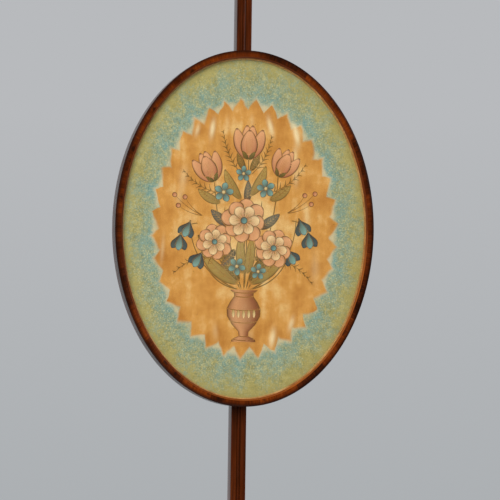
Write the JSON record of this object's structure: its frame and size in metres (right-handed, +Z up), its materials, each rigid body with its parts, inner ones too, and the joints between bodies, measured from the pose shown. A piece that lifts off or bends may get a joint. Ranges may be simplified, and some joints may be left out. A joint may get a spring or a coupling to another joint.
{
  "type": "pole screen",
  "caption": "Free-standing fire screen with an oval glazed silk panel in a crossbanded hoop, sliding on a square pole above a tripod base, with a turned finial and a rear clamp.",
  "frame": {"origin": "on the floor, at the middle of the box that the three feet stand in", "axes": "+Z up along the pole, the silk panel faces -Y, +X to the right of someone facing the panel"},
  "size_m": [0.3824, 0.3312, 1.451],
  "materials": {
    "mahogany": "polished",
    "dark_mahogany": "polished",
    "crossbanded_veneer": "polished",
    "boxwood": "satin",
    "pine": "matt",
    "painted_silk": "satin",
    "crown_glass": "clear",
    "lacquered_brass": "aged",
    "black_iron": "dull"
  },
  "bodies": {
    "stand": {"pillar": "mahogany", "leg_front_left": "mahogany", "leg_front_right": "mahogany", "leg_rear": "mahogany", "spider_plate": "black_iron", "spider_screws": "black_iron", "pole": "dark_mahogany", "pole_peg": "dark_mahogany"},
    "finial": {"finial": "mahogany"},
    "screen": {"hoop": "mahogany", "crossbanding": "crossbanded_veneer", "glazing_bead": "mahogany", "glass": "crown_glass", "spacer_fillet": "boxwood", "silk": "painted_silk", "strainer": "pine", "backboard": "pine", "backboard_brads": "black_iron", "batten": "mahogany", "batten_screws": "lacquered_brass", "clamp_strap": "lacquered_brass", "guide_strap": "lacquered_brass", "strap_screws": "lacquered_brass", "clamp_boss": "lacquered_brass"},
    "clamp_shoe": {"clamp_shoe": "lacquered_brass"},
    "thumbscrew": {"thumbscrew": "lacquered_brass"}
  },
  "joints": [
    {"name": "screen_slide", "type": "slide", "parent": "stand", "child": "screen", "axis": [0, 0, 1], "range_m": [-0.6, 0.135]},
    {"name": "finial_lift", "type": "slide", "parent": "stand", "child": "finial", "axis": [0, 0, 1], "range_m": [0, 0.03]},
    {"name": "shoe_press", "type": "slide", "parent": "screen", "child": "clamp_shoe", "axis": [0, 1, 0], "range_m": [0, 0.0021]},
    {"name": "thumbscrew_turn", "type": "hinge", "parent": "clamp_shoe", "child": "thumbscrew", "pos_m": [0, -0.03, 1.181], "axis": [0, 1, 0], "range_deg": [0, 720]}
  ],
  "couplings": [
    {"joint": "shoe_press", "follows": "thumbscrew_turn", "m_per_rad": 0.00015915}
  ]
}
